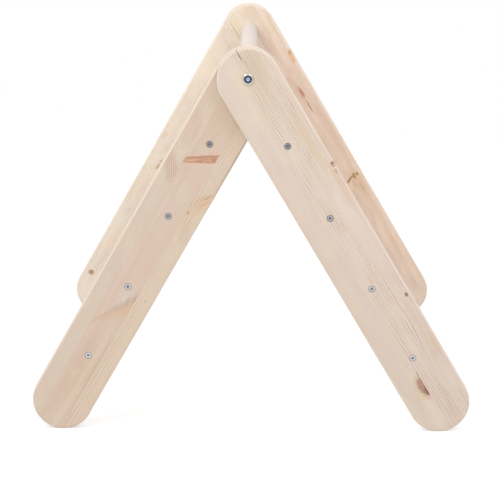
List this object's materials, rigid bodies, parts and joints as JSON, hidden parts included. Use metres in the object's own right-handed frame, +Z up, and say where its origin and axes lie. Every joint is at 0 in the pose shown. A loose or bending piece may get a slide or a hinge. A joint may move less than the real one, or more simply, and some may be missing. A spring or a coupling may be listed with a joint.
{
  "type": "folding climbing triangle",
  "caption": "Wooden folding climbing triangle: two ladders of round-ended pine boards and dowel rungs that share a top rung and hinge on its bolts.",
  "frame": {"origin": "on the floor, under the middle of the standing triangle (bottom centre of the bounding box)", "axes": "+Z up, +Y along the rungs and the hinge axis, away from the picture's camera, +X from the left ladder's foot to the right ladder's foot"},
  "size_m": [0.7188, 0.7273, 0.632],
  "materials": {
    "pine_board": "planed and sanded, untreated",
    "turned_rung": "sanded, untreated",
    "zinc_steel": "bright zinc plate"
  },
  "bodies": {
    "left_ladder": {"left_rail_near": "pine_board", "left_rail_far": "pine_board", "left_rung_1": "turned_rung", "left_rung_2": "turned_rung", "left_rung_3": "turned_rung", "left_rung_4": "turned_rung", "left_screws_near": "zinc_steel", "left_screws_far": "zinc_steel", "top_rung": "turned_rung", "rung_insert_near": "zinc_steel", "rung_insert_far": "zinc_steel", "pivot_spacer_near": "zinc_steel", "pivot_spacer_far": "zinc_steel", "pivot_bolt_near": "zinc_steel", "pivot_bolt_far": "zinc_steel"},
    "right_ladder": {"right_rail_near": "pine_board", "right_rail_far": "pine_board", "right_rung_1": "turned_rung", "right_rung_2": "turned_rung", "right_rung_3": "turned_rung", "right_rung_4": "turned_rung", "right_screws_near": "zinc_steel", "right_screws_far": "zinc_steel"}
  },
  "joints": [
    {"name": "fold_hinge", "type": "hinge", "parent": "left_ladder", "child": "right_ladder", "pos_m": [0, 0, 0.5838], "axis": [0, 1, 0], "range_deg": [-119.8, 27.5]}
  ]
}
